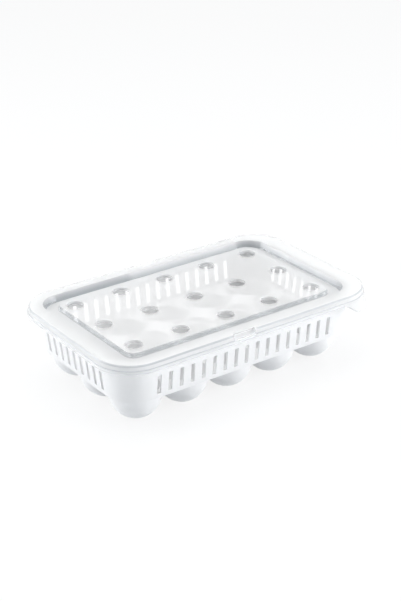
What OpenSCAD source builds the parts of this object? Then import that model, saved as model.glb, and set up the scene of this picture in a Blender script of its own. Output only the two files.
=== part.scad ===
// Egg keeper for a refrigerator: a slotted basket with a grid of egg cups and a clear lid that lifts off.
// The origin lies on the surface it stands on, under the middle of the cup grid.
// X runs along the longer row of cups, -Y is the side with the lid's pull tab at its right end, Z is up.

/* [Cup grid] */
// Cups along the basket
cups_long = 5; // [3:1:6]
// Cups across the basket
cups_wide = 3; // [2:1:4]
// Gap between neighbouring cups
cup_gap = 2; // [1:0.5:10]

/* [Egg cups] */
// Outer radius of a cup
cup_radius = 24; // [20:0.5:28]
// Wall thickness of a cup
cup_wall = 1.5; // [1:0.1:2.5]
// Radius of the flat foot that a cup stands on
foot_radius = 5; // [3:0.5:6]
// Bevel round the mouth of a cup
mouth_bevel = 1; // [0.4:0.1:1.2]

/* [Deck between the cups] */
// Height of the deck's upper face above the surface
deck_height = 31.2; // [28:0.2:36]
// Thickness of the deck
deck_thick = 2; // [1.5:0.1:3]
// Height of the posts between four cups
post_height = 5; // [2:0.5:8]
// Gap between a post's base and the bevels of the cup mouths round it
post_gap = 0.4; // [0.2:0.1:1]
// How far a post's four hollow sides draw back from the cups over its height
post_taper = 1.2; // [0.6:0.2:2]
// Distance from the ends of a post's arms, at its top, to the middle between two cups
arm_gap = 9.5; // [9:0.5:16]
// How much further the arms reach at the deck
arm_spread = 6; // [2:0.5:6.5]
// Wall thickness of a post
post_wall = 1.6; // [1:0.1:2.5]

/* [Basket wall] */
// Distance from the outer cups to the wall's outer face at its lower edge
wall_margin = 6.5; // [4:0.5:12]
// Radius of the wall's corners at its lower edge
wall_corner = 28; // [24:1:30]
// Outward lean of the wall in degrees
wall_draft = 6.5; // [3:0.5:8]
// Thickness of the wall
wall_thick = 1.8; // [1.4:0.1:2.5]
// Height of the basket to the top of its rim
basket_height = 70.2; // [66:0.2:84]
// How far the wall's plain upper part stands out above the slots
collar_step = 0.5; // [0.2:0.1:1]
// Height of that step above the slots' upper ends
collar_rise = 0.6; // [0.2:0.2:2]
// How far the rim bead stands out from the wall
bead_width = 2.4; // [1.6:0.2:3]
// Height of the rim bead
bead_height = 3.5; // [2:0.5:5]

/* [Wall slots] */
// Slots in each long wall, fewer where the wall is too short for them
slots_long = 17; // [5:2:17]
// Distance between slots in the long walls
slot_pitch_long = 11.9; // [8:0.1:12]
// Slots in each short wall, fewer where the wall is too short for them
slots_short = 9; // [3:2:9]
// Distance between slots in the short walls
slot_pitch_short = 11.4; // [8:0.1:12]
// Width of a slot
slot_width = 4.2; // [2:0.2:5]
// Height of the slots' lower ends above the deck
slot_rise = 2.3; // [1:0.1:4]
// Length of a slot
slot_length = 19.2; // [10:0.2:22]

/* [Lid] */
// Thickness of the lid
lid_thick = 1.6; // [1.2:0.1:2]
// Play between the lid and the rim that it rests on
lid_play = 0.3; // [0.2:0.1:0.5]
// Distance from the outer holes' centres to the raised panel's long edges
panel_offset = 15.2; // [13:0.2:18]
// Distance from the outer holes' centres to the raised panel's short edges
panel_end_offset = 13; // [11:0.2:17]
// Corner radius of the raised panel
panel_corner = 9.5; // [6:0.5:12]
// Height of the raised panel above the trough round it
panel_rise = 4.9; // [3:0.1:6]
// Outward lean of the panel's step over its height
step_lean = 1; // [0.4:0.2:2]
// Distance from the outer holes' centres to the outer edge of the trough's floor
trough_offset = 25; // [24:0.2:27]
// Corner radius of the trough's floor at its outer edge
trough_corner = 19; // [14:0.5:20]
// How far the lid's rim stands above the panel
rim_rise = 1.6; // [0.6:0.2:3]
// Outward lean of the rim's inner wall over its height
rim_lean = 2.9; // [1:0.1:4]
// Gap between the basket's rim bead and the lid's skirt
skirt_gap = 2.4; // [2:0.2:5]
// Radius of the rim's outer edge
rim_round = 2.5; // [2.2:0.1:4]
// Height of the lid's edge below the rim's top
skirt_depth = 8.4; // [7:0.2:12]
// Height of the thicker band along the lid's edge
band_height = 2.9; // [1.5:0.1:3.5]
// How far the band stands out from the skirt
band_step = 0.7; // [0.3:0.1:1]
// Outward lean of the skirt and of its band
skirt_lean = 0.3; // [0:0.1:0.6]

/* [Holes in the lid] */
// Radius of a hole above each cup
hole_radius = 8.3; // [5:0.1:10]
// Wall thickness of the collar under a hole
collar_wall = 1.2; // [0.8:0.1:2]
// Depth of the collar from the panel's upper face
collar_depth = 3; // [2:0.2:5]

/* [Grip and pull tab] */
// Extra width of the rim along the short side with the pull tab
grip_width = 7.5; // [2:0.5:10]
// How far the tab hangs below the lid's edge
tab_drop = 10; // [6:0.5:14]
// How far the tab's face stands out from the band that it hangs on
tab_step = 0.4; // [0.2:0.1:1]
// Outward flare of the tab over its height
tab_flare = 2.5; // [1:0.5:5]
// Half width of the tab at its lower edge
tab_tip = 18; // [8:1:20]
// Half width of the tab where it leaves the lid's edge
tab_root = 31.5; // [24:0.5:34]

/* [Finger notches] */
// Length of the notch in each long rim
notch_length = 24; // [10:1:40]
// How far a notch reaches in past the rim's rounded edge
notch_reach = 1; // [0.5:0.5:4]
// Place of the front notch along the rim
notch_front = -9; // [-40:1:40]
// Place of the back notch along the rim
notch_back = 2; // [-40:1:40]

/* [Hidden] */
$fn = 96;
over = 1;

// Cup centres: the pitch, and half sizes of the rectangle through the outer centres
cup_pitch = 2 * cup_radius + cup_gap;
grid_x = (cups_long - 1) / 2 * cup_pitch;
grid_y = (cups_wide - 1) / 2 * cup_pitch;

// Cups: a sphere sunk until its cap is a flat foot, and a straight collar up to the deck
cup_bore = cup_radius - cup_wall;
cup_centre = sqrt(pow(cup_radius, 2) - pow(foot_radius, 2));
deck_under = deck_height - deck_thick;
post_foot = deck_height - deck_thick / 2;
post_top = deck_height + post_height;
function post_arc(z) = cup_bore + mouth_bevel + post_gap + post_taper * (z - deck_height) / post_height;
function post_arm(z) = cup_pitch / 2 - arm_gap + arm_spread * (post_top - z) / post_height;
function post_core(z) = cup_pitch / sqrt(2) - post_arc(z) - post_wall;

// Basket wall: the corners' arcs turn about wall_x, wall_y
wall_offset = cup_radius + wall_margin;
wall_x = grid_x + wall_offset - wall_corner;
wall_y = grid_y + wall_offset - wall_corner;
function wall_outer(z) = wall_corner + tan(wall_draft) * (z - deck_under);
bead_radius = wall_outer(basket_height) + bead_width;
slot_low = deck_height + slot_rise;
collar_low = slot_low + slot_length + collar_rise;
// How many of the wanted slots fit the straight part of a wall
function slots_fit(wanted, pitch, half) = min(wanted, 2 * floor((half - slot_width / 2) / pitch) + 1);
row_long = slots_fit(slots_long, slot_pitch_long, wall_x);
row_short = slots_fit(slots_short, slot_pitch_short, wall_y);

// Lid: the corners' arcs turn about lid_x, lid_y
lid_x = grid_x + trough_offset - trough_corner;
lid_y = grid_y + trough_offset - trough_corner;
panel_x = grid_x + panel_end_offset - panel_corner;
panel_y = grid_y + panel_offset - panel_corner;
rim_under = basket_height + lid_play;
rim_top = rim_under + lid_thick;
panel_top = rim_top - rim_rise;
trough_top = panel_top - panel_rise;
trough_under = trough_top - lid_thick;
step_foot = panel_corner + step_lean;
rim_in = trough_corner + rim_lean;
step_slope = step_lean / panel_rise;
rim_slope = rim_lean / (rim_top - trough_top);
rim_wall = lid_thick * sqrt(1 + pow(rim_slope, 2));
skirt_in = wall_y + bead_radius + skirt_gap - lid_y;
skirt_out = skirt_in + lid_thick;
round_centre = skirt_out - rim_round;
skirt_top = rim_top - rim_round;
skirt_low = rim_top - skirt_depth;
band_top = skirt_low + band_height;
grip_x = lid_x + grip_width;
join = rim_in + lid_thick;
flat_in = join - grip_width - over;
tab_low = skirt_low - tab_drop - over;
tab_high = band_top - band_step;
tab_face = skirt_out + skirt_lean + band_step + tab_step;
notch_in = round_centre - notch_reach;
notch_across = skirt_out + skirt_lean + band_step + over - notch_in;

// Lower edge of the pull tab: how far it hangs at a distance s along the corner
function tab_hang(s) =
    abs(s) < tab_tip ? tab_drop
    : tab_drop * (1 + cos(180 * (abs(s) - tab_tip) / (tab_root - tab_tip))) / 2;

// Runs the 2D section given as child round a rectangle with round corners.
// The section's x is the distance outwards from the arcs' centres, its y is the height.
module run_round(x_low, x_high, y_half) {
    for (corner = [[x_high, y_half, 0], [x_low, y_half, 90], [x_low, -y_half, 180], [x_high, -y_half, 270]])
        translate([corner[0], corner[1], 0])
            rotate([0, 0, corner[2]])
                rotate_extrude(angle = 90)
                    children();
    translate([x_low, y_half, 0])
        rotate([90, 0, 90])
            linear_extrude(x_high - x_low)
                children();
    translate([x_high, -y_half, 0])
        rotate([90, 0, -90])
            linear_extrude(x_high - x_low)
                children();
    translate([x_high, y_half, 0])
        rotate([90, 0, 0])
            linear_extrude(2 * y_half)
                children();
    translate([x_low, -y_half, 0])
        rotate([90, 0, 180])
            linear_extrude(2 * y_half)
                children();
}

// The same run, with the rectangle inside it filled between two heights
module filled_round(x_half, y_half, low, high) {
    run_round(-x_half, x_half, y_half)
        children();
    translate([-x_half, -y_half, low])
        cube([2 * x_half, 2 * y_half, high - low]);
}

// Places its child at each cup centre
module at_cups() {
    for (i = [0 : cups_long - 1], j = [0 : cups_wide - 1])
        translate([i * cup_pitch - grid_x, j * cup_pitch - grid_y, 0])
            children();
}

// Places its child between each four cups
module at_posts() {
    for (i = [0 : cups_long - 2], j = [0 : cups_wide - 2])
        translate([(i + 0.5) * cup_pitch - grid_x, (j + 0.5) * cup_pitch - grid_y, 0])
            children();
}

// One egg cup, a bowl with a flat foot
module egg_cup() {
    difference() {
        union() {
            intersection() {
                translate([0, 0, cup_centre])
                    sphere(cup_radius);
                cylinder(h = cup_centre, r = cup_radius + over);
            }
            translate([0, 0, cup_centre])
                cylinder(h = deck_under - cup_centre, r = cup_radius);
        }
        translate([0, 0, cup_centre])
            sphere(cup_bore);
        translate([0, 0, cup_centre])
            cylinder(h = deck_under - cup_centre + over, r = cup_bore);
    }
}

module basket_cups() {
    color("white")
        at_cups()
            egg_cup();
}

// Profile of a post along two opposite arms
module arm_profile() {
    rotate([90, 0, 0])
        translate([0, 0, -cup_pitch / 2])
            linear_extrude(cup_pitch)
                polygon([
                    [-post_arm(post_foot), post_foot],
                    [post_arm(post_foot), post_foot],
                    [post_arm(post_top), post_top],
                    [-post_arm(post_top), post_top]
                ]);
}

// A post between four cups, a star of four arms with hollow sides that follow the cups
module star_post() {
    difference() {
        intersection() {
            arm_profile();
            rotate([0, 0, 90])
                arm_profile();
        }
        for (x = [-1, 1], y = [-1, 1])
            translate([x * cup_pitch / 2, y * cup_pitch / 2, post_foot - over])
                cylinder(h = post_top - post_foot + 2 * over,
                         r1 = post_arc(post_foot - over), r2 = post_arc(post_top + over));
    }
}

module basket_deck() {
    edge = wall_corner - wall_thick;
    color("white")
        difference() {
            union() {
                filled_round(wall_x, wall_y, deck_under, deck_height)
                    translate([0, deck_under])
                        square([edge, deck_thick]);
                at_posts()
                    star_post();
            }
            at_posts()
                translate([0, 0, deck_under - over])
                    cylinder(h = deck_thick + post_height - post_wall + over,
                             r1 = post_core(deck_under - over), r2 = post_core(post_top - post_wall));
            at_cups() {
                translate([0, 0, deck_under - over])
                    cylinder(h = deck_thick + 2 * over, r = cup_bore);
                translate([0, 0, deck_height - mouth_bevel])
                    cylinder(h = mouth_bevel + over, r1 = cup_bore, r2 = cup_bore + mouth_bevel + over);
            }
        }
}

// Section of the basket wall with the bead that carries the lid
module wall_section() {
    polygon([
        [wall_corner, deck_under],
        [wall_outer(collar_low), collar_low],
        [wall_outer(collar_low) + collar_step, collar_low],
        [wall_outer(basket_height - bead_height) + collar_step, basket_height - bead_height],
        [bead_radius, basket_height - bead_height],
        [bead_radius, basket_height],
        [wall_outer(basket_height) - wall_thick, basket_height],
        [wall_corner - wall_thick, deck_under]
    ]);
}

module basket_wall() {
    reach = 4 * (wall_offset + wall_thick);
    color("white")
        difference() {
            run_round(-wall_x, wall_x, wall_y)
                wall_section();
            for (i = [0 : row_long - 1])
                translate([(i - (row_long - 1) / 2) * slot_pitch_long - slot_width / 2,
                           -grid_y - reach / 2, slot_low])
                    cube([slot_width, 2 * grid_y + reach, slot_length]);
            for (j = [0 : row_short - 1])
                translate([-grid_x - reach / 2,
                           (j - (row_short - 1) / 2) * slot_pitch_short - slot_width / 2, slot_low])
                    cube([2 * grid_x + reach, slot_width, slot_length]);
        }
}

// Section of the lid's outer rim, from its flat top over the round edge down to the skirt's band
module skirt_section() {
    translate([flat_in, rim_under])
        square([round_centre - flat_in, lid_thick]);
    translate([round_centre, skirt_top])
        difference() {
            intersection() {
                circle(rim_round);
                square(rim_round + over);
            }
            circle(rim_round - lid_thick);
        }
    polygon([
        [skirt_in, skirt_top],
        [skirt_out, skirt_top],
        [skirt_out + skirt_lean, band_top + band_step],
        [skirt_out + skirt_lean + band_step, band_top],
        [skirt_out + 2 * skirt_lean + band_step, skirt_low],
        [skirt_in + 2 * skirt_lean + band_step, skirt_low],
        [skirt_in + skirt_lean, band_top]
    ]);
}

// Outer section of the trough and the rim's inner wall, still filled inside
module trough_section() {
    polygon([
        [0, trough_under],
        [trough_corner + rim_wall - lid_thick * rim_slope, trough_under],
        [trough_corner + rim_wall + (rim_under - trough_top) * rim_slope, rim_under],
        [join, rim_under],
        [join, rim_top],
        [0, rim_top]
    ]);
}

// Section of the pull tab, a flared wall that starts inside the band
module tab_section() {
    polygon([
        [tab_face - lid_thick, tab_high],
        [tab_face, tab_high],
        [tab_face + tab_flare, tab_low],
        [tab_face + tab_flare - lid_thick, tab_low]
    ]);
}

// The pull tab: that wall run round one corner and cut to a rounded hanging shape
module pull_tab() {
    intersection() {
        translate([grip_x, -lid_y, 0]) {
            rotate([0, 0, -90])
                rotate_extrude(angle = 90)
                    tab_section();
            rotate([90, 0, -90])
                linear_extrude(tab_root / 2)
                    tab_section();
            translate([0, tab_root / 2, 0])
                rotate([90, 0, 0])
                    linear_extrude(tab_root / 2)
                        tab_section();
        }
        translate([grip_x, -lid_y, skirt_low])
            rotate([90, 0, 45])
                linear_extrude(2 * skirt_out)
                    polygon(concat(
                        [[tab_root, band_height], [-tab_root, band_height]],
                        [for (s = [-tab_root : 1 : tab_root]) [s, -tab_hang(s)]]
                    ));
    }
}

module lid_rim() {
    color("lightcyan", 0.5)
        difference() {
            union() {
                run_round(-lid_x, grip_x, lid_y)
                    skirt_section();
                filled_round(lid_x, lid_y, trough_under, rim_top)
                    trough_section();
                pull_tab();
            }
            filled_round(lid_x, lid_y, trough_top, rim_top + over)
                polygon([
                    [0, trough_top],
                    [trough_corner, trough_top],
                    [rim_in + over * rim_slope, rim_top + over],
                    [0, rim_top + over]
                ]);
            filled_round(panel_x, panel_y, trough_under - over, trough_top + over)
                translate([0, trough_under - over])
                    square([step_foot - lid_thick, lid_thick + 2 * over]);
            translate([notch_front - notch_length / 2, -lid_y - notch_in - notch_across, band_top])
                cube([notch_length, notch_across, rim_top - band_top + over]);
            translate([notch_back - notch_length / 2, lid_y + notch_in, band_top])
                cube([notch_length, notch_across, rim_top - band_top + over]);
        }
}

module lid_panel() {
    color("lightcyan", 0.5)
        difference() {
            union() {
                difference() {
                    filled_round(panel_x, panel_y, trough_top, panel_top)
                        polygon([
                            [0, trough_top],
                            [step_foot, trough_top],
                            [panel_corner, panel_top],
                            [0, panel_top]
                        ]);
                    filled_round(panel_x, panel_y, trough_top - over, panel_top - lid_thick)
                        polygon([
                            [0, trough_top - over],
                            [step_foot - lid_thick + over * step_slope, trough_top - over],
                            [panel_corner - lid_thick + lid_thick * step_slope, panel_top - lid_thick],
                            [0, panel_top - lid_thick]
                        ]);
                }
                at_cups()
                    translate([0, 0, panel_top - collar_depth])
                        cylinder(h = collar_depth - lid_thick / 2, r = hole_radius + collar_wall);
            }
            at_cups()
                translate([0, 0, panel_top - collar_depth - over])
                    cylinder(h = collar_depth + 2 * over, r = hole_radius);
        }
}

basket_wall();
basket_deck();
basket_cups();
lid_rim();
lid_panel();
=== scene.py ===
# %% [markdown]
# # An egg keeper for the refrigerator
# The real object is two plastic mouldings. The lower one is a white basket: a slotted wall, a deck
# and fifteen round cups under it. The upper one is a clear lid with a raised panel, a trough round
# the panel, a broad flat rim and a pull tab at one corner. Their shapes come from the fixed frame
# and stay as they are, so this lesson is about light and plastic.

# %% Load the fixed frame
import math
import bpy
from mathutils import Matrix, Vector


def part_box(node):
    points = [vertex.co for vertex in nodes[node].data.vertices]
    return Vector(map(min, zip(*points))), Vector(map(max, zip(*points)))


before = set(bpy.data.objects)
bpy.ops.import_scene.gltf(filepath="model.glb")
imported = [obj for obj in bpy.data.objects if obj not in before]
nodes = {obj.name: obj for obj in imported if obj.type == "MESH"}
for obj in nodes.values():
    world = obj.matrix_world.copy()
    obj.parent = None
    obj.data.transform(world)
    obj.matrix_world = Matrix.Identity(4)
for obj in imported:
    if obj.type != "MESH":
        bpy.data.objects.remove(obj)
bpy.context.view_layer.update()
print("nodes:", sorted(nodes))

# %% [markdown]
# ## The camera
# The photograph was taken from the front left, a little above the keeper and from well over a metre
# away, so the long edges hardly converge. The angles are turns about fixed axes: first the azimuth
# round Z, then the tilt down, and last a very small roll of the camera about its own line of sight.

# %% Place the camera
AZIMUTH, ELEVATION, ROLL = math.radians(-34.980), math.radians(25.333), math.radians(-0.847)
CAMERA_PLACE = Vector((-0.67461, -0.97424, 0.62651))
SENSOR_WIDTH, LENS = 36.0, 83.35

bpy.ops.object.select_all(action="DESELECT")
bpy.ops.object.camera_add()
camera = bpy.context.object
camera.name = "camera"
turn = (Matrix.Rotation(AZIMUTH, 4, "Z")
        @ Matrix.Rotation(math.pi / 2 - ELEVATION, 4, "X")
        @ Matrix.Rotation(ROLL, 4, "Z"))
camera.matrix_world = Matrix.Translation(CAMERA_PLACE) @ turn
camera.data.sensor_width, camera.data.lens = SENSOR_WIDTH, LENS
bpy.context.scene.camera = camera
print("camera stands", round(CAMERA_PLACE.length, 3), "m from the origin")

# %% [markdown]
# ## White basket plastic
# Moulded polypropylene is white and satin, and its surface has a faint, fine unevenness from the
# mould. One group makes that unevenness for both plastics: a normal and a mask. The mask also moves
# the tone and the roughness a little, because no moulding is quite even.

# %% A group for the mould's fine unevenness
def make_mould_grain():
    group = bpy.data.node_groups.new("mould_grain", "ShaderNodeTree")
    for name, kind, io in (("Scale", "NodeSocketFloat", "INPUT"), ("Strength", "NodeSocketFloat", "INPUT"),
                           ("Normal", "NodeSocketVector", "OUTPUT"), ("Mask", "NodeSocketFloat", "OUTPUT")):
        group.interface.new_socket(name, in_out=io, socket_type=kind)
    tree = group.nodes
    inp, out = tree.new("NodeGroupInput"), tree.new("NodeGroupOutput")
    place = tree.new("ShaderNodeTexCoord")
    noise = tree.new("ShaderNodeTexNoise")
    noise.inputs["Detail"].default_value = 4.0
    bump = tree.new("ShaderNodeBump")
    bump.inputs["Distance"].default_value = 0.0002
    wire = group.links.new
    wire(place.outputs["Object"], noise.inputs["Vector"])
    wire(inp.outputs["Scale"], noise.inputs["Scale"])
    wire(inp.outputs["Strength"], bump.inputs["Strength"])
    wire(noise.outputs["Fac"], bump.inputs["Height"])
    wire(bump.outputs["Normal"], out.inputs["Normal"])
    wire(noise.outputs["Fac"], out.inputs["Mask"])
    return group


MOULD_GRAIN = make_mould_grain()
print("group sockets:", [s.name for s in MOULD_GRAIN.interface.items_tree])

# %% Parts that both plastics share
PLASTIC_IOR = 1.49
GRAIN_LOW, GRAIN_HIGH = 0.3, 0.7


def add_grain(tree, scale, strength):
    grain = tree.new("ShaderNodeGroup")
    grain.node_tree = MOULD_GRAIN
    grain.inputs["Scale"].default_value = scale
    grain.inputs["Strength"].default_value = strength
    return grain


def add_roughness(tree, smoothest, roughest):
    tone = tree.new("ShaderNodeMapRange")
    for socket, value in (("From Min", GRAIN_LOW), ("From Max", GRAIN_HIGH),
                          ("To Min", smoothest), ("To Max", roughest)):
        tone.inputs[socket].default_value = value
    return tone


def add_two_tones(tree, first, second):
    mix = tree.new("ShaderNodeMix")
    mix.data_type = "RGBA"
    mix.inputs["A"].default_value = first
    mix.inputs["B"].default_value = second
    return mix


print("both plastics bend light by", PLASTIC_IOR)

# %% The white plastic
def make_white_plastic():
    material = bpy.data.materials.new("white_basket_plastic")
    material.use_nodes = True
    tree, wire = material.node_tree.nodes, material.node_tree.links.new
    shader = tree["Principled BSDF"]
    shader.inputs["IOR"].default_value = PLASTIC_IOR
    grain = add_grain(tree, 420.0, 0.15)
    tone = add_roughness(tree, 0.28, 0.36)
    mix = add_two_tones(tree, (0.91, 0.912, 0.92, 1), (0.935, 0.937, 0.94, 1))
    wire(grain.outputs["Mask"], tone.inputs["Value"])
    wire(grain.outputs["Mask"], mix.inputs["Factor"])
    wire(tone.outputs["Result"], shader.inputs["Roughness"])
    wire(mix.outputs["Result"], shader.inputs["Base Color"])
    wire(grain.outputs["Normal"], shader.inputs["Normal"])
    return material


WHITE_PLASTIC = make_white_plastic()
print("made", WHITE_PLASTIC.name)

# %% [markdown]
# ## Clear lid plastic
# The lid is clear but slightly milky. Alpha says how much of the light meets the plastic at all: the
# rest passes straight on, so the lamps reach the cups and the cups show through the panel. The rim
# has more body, and part of it bends light as glass does.
#
# Where the lid's walls stand steep, the colour is painted grey-blue: a painted reflection of dark
# surroundings, which real glass shows only in a room with dark places, and painted shade that is
# deepest at the foot of the wall. A mask darkens the colour where the surface's own normal lies flat.
# The skirt outside the rim hangs before the white basket and stays bright, so there the mask keeps
# only the rim's rounded edge, where it paints a dark outline, a painted reflection.

# %% A group that masks painted shade on the steep walls inside the rim and a painted dark line on the rim's rounded edge
# Painted shade is strongest at the foot of a wall and keeps this share at its top.
PAINTED_SHADE_AT_TOP = 0.40


def make_painted_wall_shade():
    group = bpy.data.node_groups.new("painted_wall_shade_mask", "ShaderNodeTree")
    for name, io in (("Inner Half Length", "INPUT"), ("Inner Half Width", "INPUT"),
                     ("Outer Half Length", "INPUT"), ("Outer Half Width", "INPUT"), ("Corner Cut", "INPUT"),
                     ("Painted Edge Share", "INPUT"), ("Foot Height", "INPUT"), ("Top Height", "INPUT"),
                     ("Mask", "OUTPUT")):
        group.interface.new_socket(name, in_out=io, socket_type="NodeSocketFloat")
    tree, wire = group.nodes, group.links.new
    inp, out = tree.new("NodeGroupInput"), tree.new("NodeGroupOutput")
    place = tree.new("ShaderNodeTexCoord")
    split_normal, split_place = tree.new("ShaderNodeSeparateXYZ"), tree.new("ShaderNodeSeparateXYZ")
    wire(place.outputs["Normal"], split_normal.inputs[0])
    wire(place.outputs["Object"], split_place.inputs[0])

    def calculate(operation, first, second=None):
        step = tree.new("ShaderNodeMath")
        step.operation = operation
        wire(first, step.inputs[0])
        if second is not None:
            wire(second, step.inputs[1])
        return step.outputs[0]

    upright = calculate("ABSOLUTE", split_normal.outputs["Z"])

    def soft_step(starts, ends):
        step = tree.new("ShaderNodeMapRange")
        step.interpolation_type = "SMOOTHSTEP"
        step.inputs["From Min"].default_value = starts
        step.inputs["From Max"].default_value = ends
        wire(upright, step.inputs["Value"])
        return step.outputs["Result"]

    # These bands pick where painted shade and the painted dark line fall: steep faces and the rim's rounded
    # edge.
    steep, rounding, flank = soft_step(0.75, 0.30), soft_step(0.97, 0.80), soft_step(0.45, 0.20)
    along = calculate("ABSOLUTE", split_place.outputs["X"])
    across = calculate("ABSOLUTE", split_place.outputs["Y"])
    past_panel = calculate("MAXIMUM", calculate("GREATER_THAN", along, inp.outputs["Inner Half Length"]),
                           calculate("GREATER_THAN", across, inp.outputs["Inner Half Width"]))
    before_rim = calculate("MULTIPLY", calculate("LESS_THAN", along, inp.outputs["Outer Half Length"]),
                           calculate("LESS_THAN", across, inp.outputs["Outer Half Width"]))
    corner_limit = calculate("SUBTRACT", calculate("ADD", inp.outputs["Outer Half Length"],
                                                   inp.outputs["Outer Half Width"]),
                             inp.outputs["Corner Cut"])
    off_corner = calculate("LESS_THAN", calculate("ADD", along, across), corner_limit)
    before_rim = calculate("MULTIPLY", before_rim, off_corner)
    # Painted shade: darker towards the foot of the wall.
    shade_towards_foot = tree.new("ShaderNodeMapRange")
    shade_towards_foot.interpolation_type = "SMOOTHSTEP"
    shade_towards_foot.inputs["To Min"].default_value = 1.0
    shade_towards_foot.inputs["To Max"].default_value = PAINTED_SHADE_AT_TOP
    wire(split_place.outputs["Z"], shade_towards_foot.inputs["Value"])
    wire(inp.outputs["Foot Height"], shade_towards_foot.inputs["From Min"])
    wire(inp.outputs["Top Height"], shade_towards_foot.inputs["From Max"])
    inside = calculate("MULTIPLY", calculate("MULTIPLY", steep, shade_towards_foot.outputs["Result"]),
                       calculate("MULTIPLY", past_panel, before_rim))
    outside = calculate("MULTIPLY", calculate("SUBTRACT", rounding, flank),
                        calculate("SUBTRACT", past_panel, before_rim))
    # Painted dark line on the rim's rounded edge: a painted reflection of dark surroundings.
    edge = calculate("MULTIPLY", outside, inp.outputs["Painted Edge Share"])
    wire(calculate("MAXIMUM", inside, edge), out.inputs["Mask"])
    return group


PAINTED_WALL_SHADE = make_painted_wall_shade()
panel_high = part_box("lid_panel")[1]
rim_low, rim_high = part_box("lid_rim")
# Limits for where the painted shade and the painted edge line fall.
PAINTED_SHADE_LIMITS = {
    "Inner Half Length": panel_high[0] - 0.0043,
    "Inner Half Width": panel_high[1] - 0.0062,
    "Outer Half Length": -rim_low[0] - 0.010,
    "Outer Half Width": -rim_low[1] - 0.011,
    "Corner Cut": 0.006,
    "Painted Edge Share": 0.68,
    "Foot Height": rim_high[2] - 0.0055,
    "Top Height": rim_high[2],
}
print("panel reaches", round(panel_high[0], 4), round(panel_high[1], 4))
print("rim reaches", round(-rim_low[0], 4), round(-rim_low[1], 4))

# %% The clear plastic
def make_clear_plastic(name, alpha, transmission, painted_shade_colour):
    material = bpy.data.materials.new(name)
    material.use_nodes = True
    tree, wire = material.node_tree.nodes, material.node_tree.links.new
    shader = tree["Principled BSDF"]
    shader.inputs["IOR"].default_value = PLASTIC_IOR
    shader.inputs["Transmission Weight"].default_value = transmission
    shader.inputs["Alpha"].default_value = alpha
    grain = add_grain(tree, 160.0, 0.03)
    tone = add_roughness(tree, 0.02, 0.05)
    mix = add_two_tones(tree, (0.975, 0.985, 0.99, 1), (0.99, 0.995, 1.0, 1))
    steep = tree.new("ShaderNodeGroup")
    steep.node_tree = PAINTED_WALL_SHADE
    for socket, value in PAINTED_SHADE_LIMITS.items():
        steep.inputs[socket].default_value = value
    # Mix the painted grey-blue shade into the colour where the mask says.
    painted_shade_mix = tree.new("ShaderNodeMix")
    painted_shade_mix.data_type = "RGBA"
    painted_shade_mix.inputs["B"].default_value = painted_shade_colour
    wire(grain.outputs["Mask"], tone.inputs["Value"])
    wire(grain.outputs["Mask"], mix.inputs["Factor"])
    wire(mix.outputs["Result"], painted_shade_mix.inputs["A"])
    wire(steep.outputs["Mask"], painted_shade_mix.inputs["Factor"])
    wire(tone.outputs["Result"], shader.inputs["Roughness"])
    wire(painted_shade_mix.outputs["Result"], shader.inputs["Base Color"])
    wire(grain.outputs["Normal"], shader.inputs["Normal"])
    return material


# The last colour of each is the painted shade on its steep walls and rounded edge.
CLEAR_PANEL = make_clear_plastic("clear_panel_plastic", 0.31, 0.0, (0.68, 0.72, 0.755, 1))
CLEAR_RIM = make_clear_plastic("clear_rim_plastic", 0.70, 0.50, (0.48, 0.515, 0.55, 1))
print("made", CLEAR_PANEL.name, "and", CLEAR_RIM.name)

# %% Dress the frame's own nodes
def dress(node_name, material):
    node = nodes[node_name]
    if not node.material_slots:
        node.data.materials.append(material)
    for holder in node.material_slots:
        holder.material = material


for name in ("basket_wall", "basket_deck", "basket_cups"):
    dress(name, WHITE_PLASTIC)
dress("lid_rim", CLEAR_RIM)
dress("lid_panel", CLEAR_PANEL)
print("dressed", len(nodes), "nodes")

# %% [markdown]
# ## The floor and the light
# The keeper stands on a white table without a visible edge. To an eye, a glossy surface or a view
# through the lid the table is mostly plain white, and a share of its lit surface keeps the shadow.
# The room is lit the same way: plain white to look at, and dimmer where it only gives light.

# %% The floor
bpy.ops.object.select_all(action="DESELECT")
bpy.ops.mesh.primitive_plane_add(size=8.0, location=(0, 0, 0))
floor = bpy.context.object
floor.name = "floor"


def is_seen(tree, wire):
    rays = tree.new("ShaderNodeLightPath")
    seen, seen_more = tree.new("ShaderNodeMath"), tree.new("ShaderNodeMath")
    seen.operation = seen_more.operation = "MAXIMUM"
    wire(rays.outputs["Is Camera Ray"], seen.inputs[0])
    wire(rays.outputs["Is Glossy Ray"], seen.inputs[1])
    wire(seen.outputs[0], seen_more.inputs[0])
    wire(rays.outputs["Is Transmission Ray"], seen_more.inputs[1])
    return seen_more.outputs[0]


SHADOW_SHARE = 0.15
floor_material = bpy.data.materials.new("white_table")
floor_material.use_nodes = True
ftree, fwire = floor_material.node_tree.nodes, floor_material.node_tree.links.new
table_shader = ftree["Principled BSDF"]
table_shader.inputs["Base Color"].default_value = (0.90, 0.93, 0.96, 1)
table_shader.inputs["Roughness"].default_value = 0.5
white_glow = ftree.new("ShaderNodeEmission")
white_glow.inputs["Strength"].default_value = 1.0
share = ftree.new("ShaderNodeMath")
share.operation = "MULTIPLY"
share.inputs[1].default_value = 1.0 - SHADOW_SHARE
blend = ftree.new("ShaderNodeMixShader")
fwire(is_seen(ftree, fwire), share.inputs[0])
fwire(share.outputs[0], blend.inputs["Fac"])
fwire(table_shader.outputs[0], blend.inputs[1])
fwire(white_glow.outputs[0], blend.inputs[2])
fwire(blend.outputs[0], ftree["Material Output"].inputs["Surface"])
floor.data.materials.append(floor_material)
print("share of the table's own shade:", SHADOW_SHARE)

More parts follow.
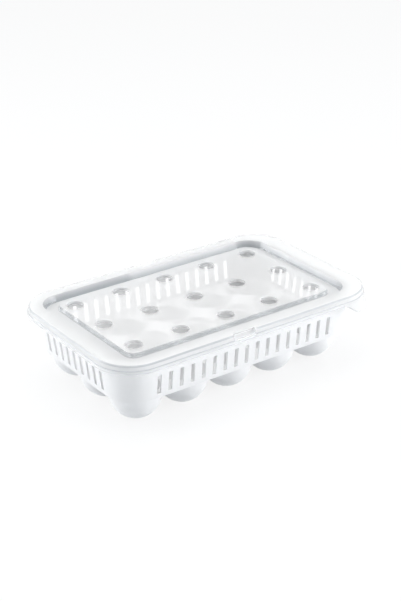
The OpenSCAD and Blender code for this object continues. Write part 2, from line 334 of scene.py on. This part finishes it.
# %% [markdown]
# ## Three softboxes and a dim side
# A large softbox hangs overhead and a smaller one stands at each side, level with the long wall and
# the short one. The viewer's side of the room is dimmer than the rest, so the near corner, which
# faces it, is darker than the walls beside it.

# %% The lamps
def add_softbox(name, place, target, size, power):
    bpy.ops.object.light_add(type="AREA", location=place)
    lamp = bpy.context.object
    lamp.name = name
    lamp.data.shape = "RECTANGLE"
    lamp.data.size, lamp.data.size_y = size
    lamp.data.energy = power
    aim = Vector(target) - Vector(place)
    lamp.rotation_euler = aim.to_track_quat("-Z", "Y").to_euler()
    return lamp


add_softbox("overhead", (0.0, 0.1, 1.6), (0, 0, 0), (1.6, 1.2), 15.5)
add_softbox("left_side", (-1.0, 0.85, 0.55), (0, 0, 0.03), (0.8, 0.8), 8.5)
add_softbox("right_side", (1.05, -1.0, 0.55), (0, 0, 0.03), (0.8, 0.8), 12)

# %% The room
PLAIN_SIDE, DIM_SIDE = 0.60, 0.08

world = bpy.data.worlds.new("room")
bpy.context.scene.world = world
world.use_nodes = True
wtree, wwire = world.node_tree.nodes, world.node_tree.links.new
room = wtree["Background"]
room.inputs["Color"].default_value = (1, 1, 1, 1)
direction, toward_viewer = wtree.new("ShaderNodeTexCoord"), wtree.new("ShaderNodeVectorMath")
toward_viewer.operation = "DOT_PRODUCT"
toward_viewer.inputs[1].default_value = CAMERA_PLACE.normalized()
wwire(direction.outputs["Generated"], toward_viewer.inputs[0])
dimmer = wtree.new("ShaderNodeMapRange")
dimmer.interpolation_type = "SMOOTHSTEP"
for socket, value in (("From Min", 0.45), ("From Max", 0.90), ("To Min", PLAIN_SIDE), ("To Max", DIM_SIDE)):
    dimmer.inputs[socket].default_value = value
wwire(toward_viewer.outputs["Value"], dimmer.inputs["Value"])
level = wtree.new("ShaderNodeMapRange")
level.inputs["To Max"].default_value = 1.0
wwire(dimmer.outputs["Result"], level.inputs["To Min"])
wwire(is_seen(wtree, wwire), level.inputs["Value"])
wwire(level.outputs["Result"], room.inputs["Strength"])
bpy.context.scene.view_settings.view_transform = "Standard"
print("room gives", PLAIN_SIDE, "and towards the viewer", DIM_SIDE)
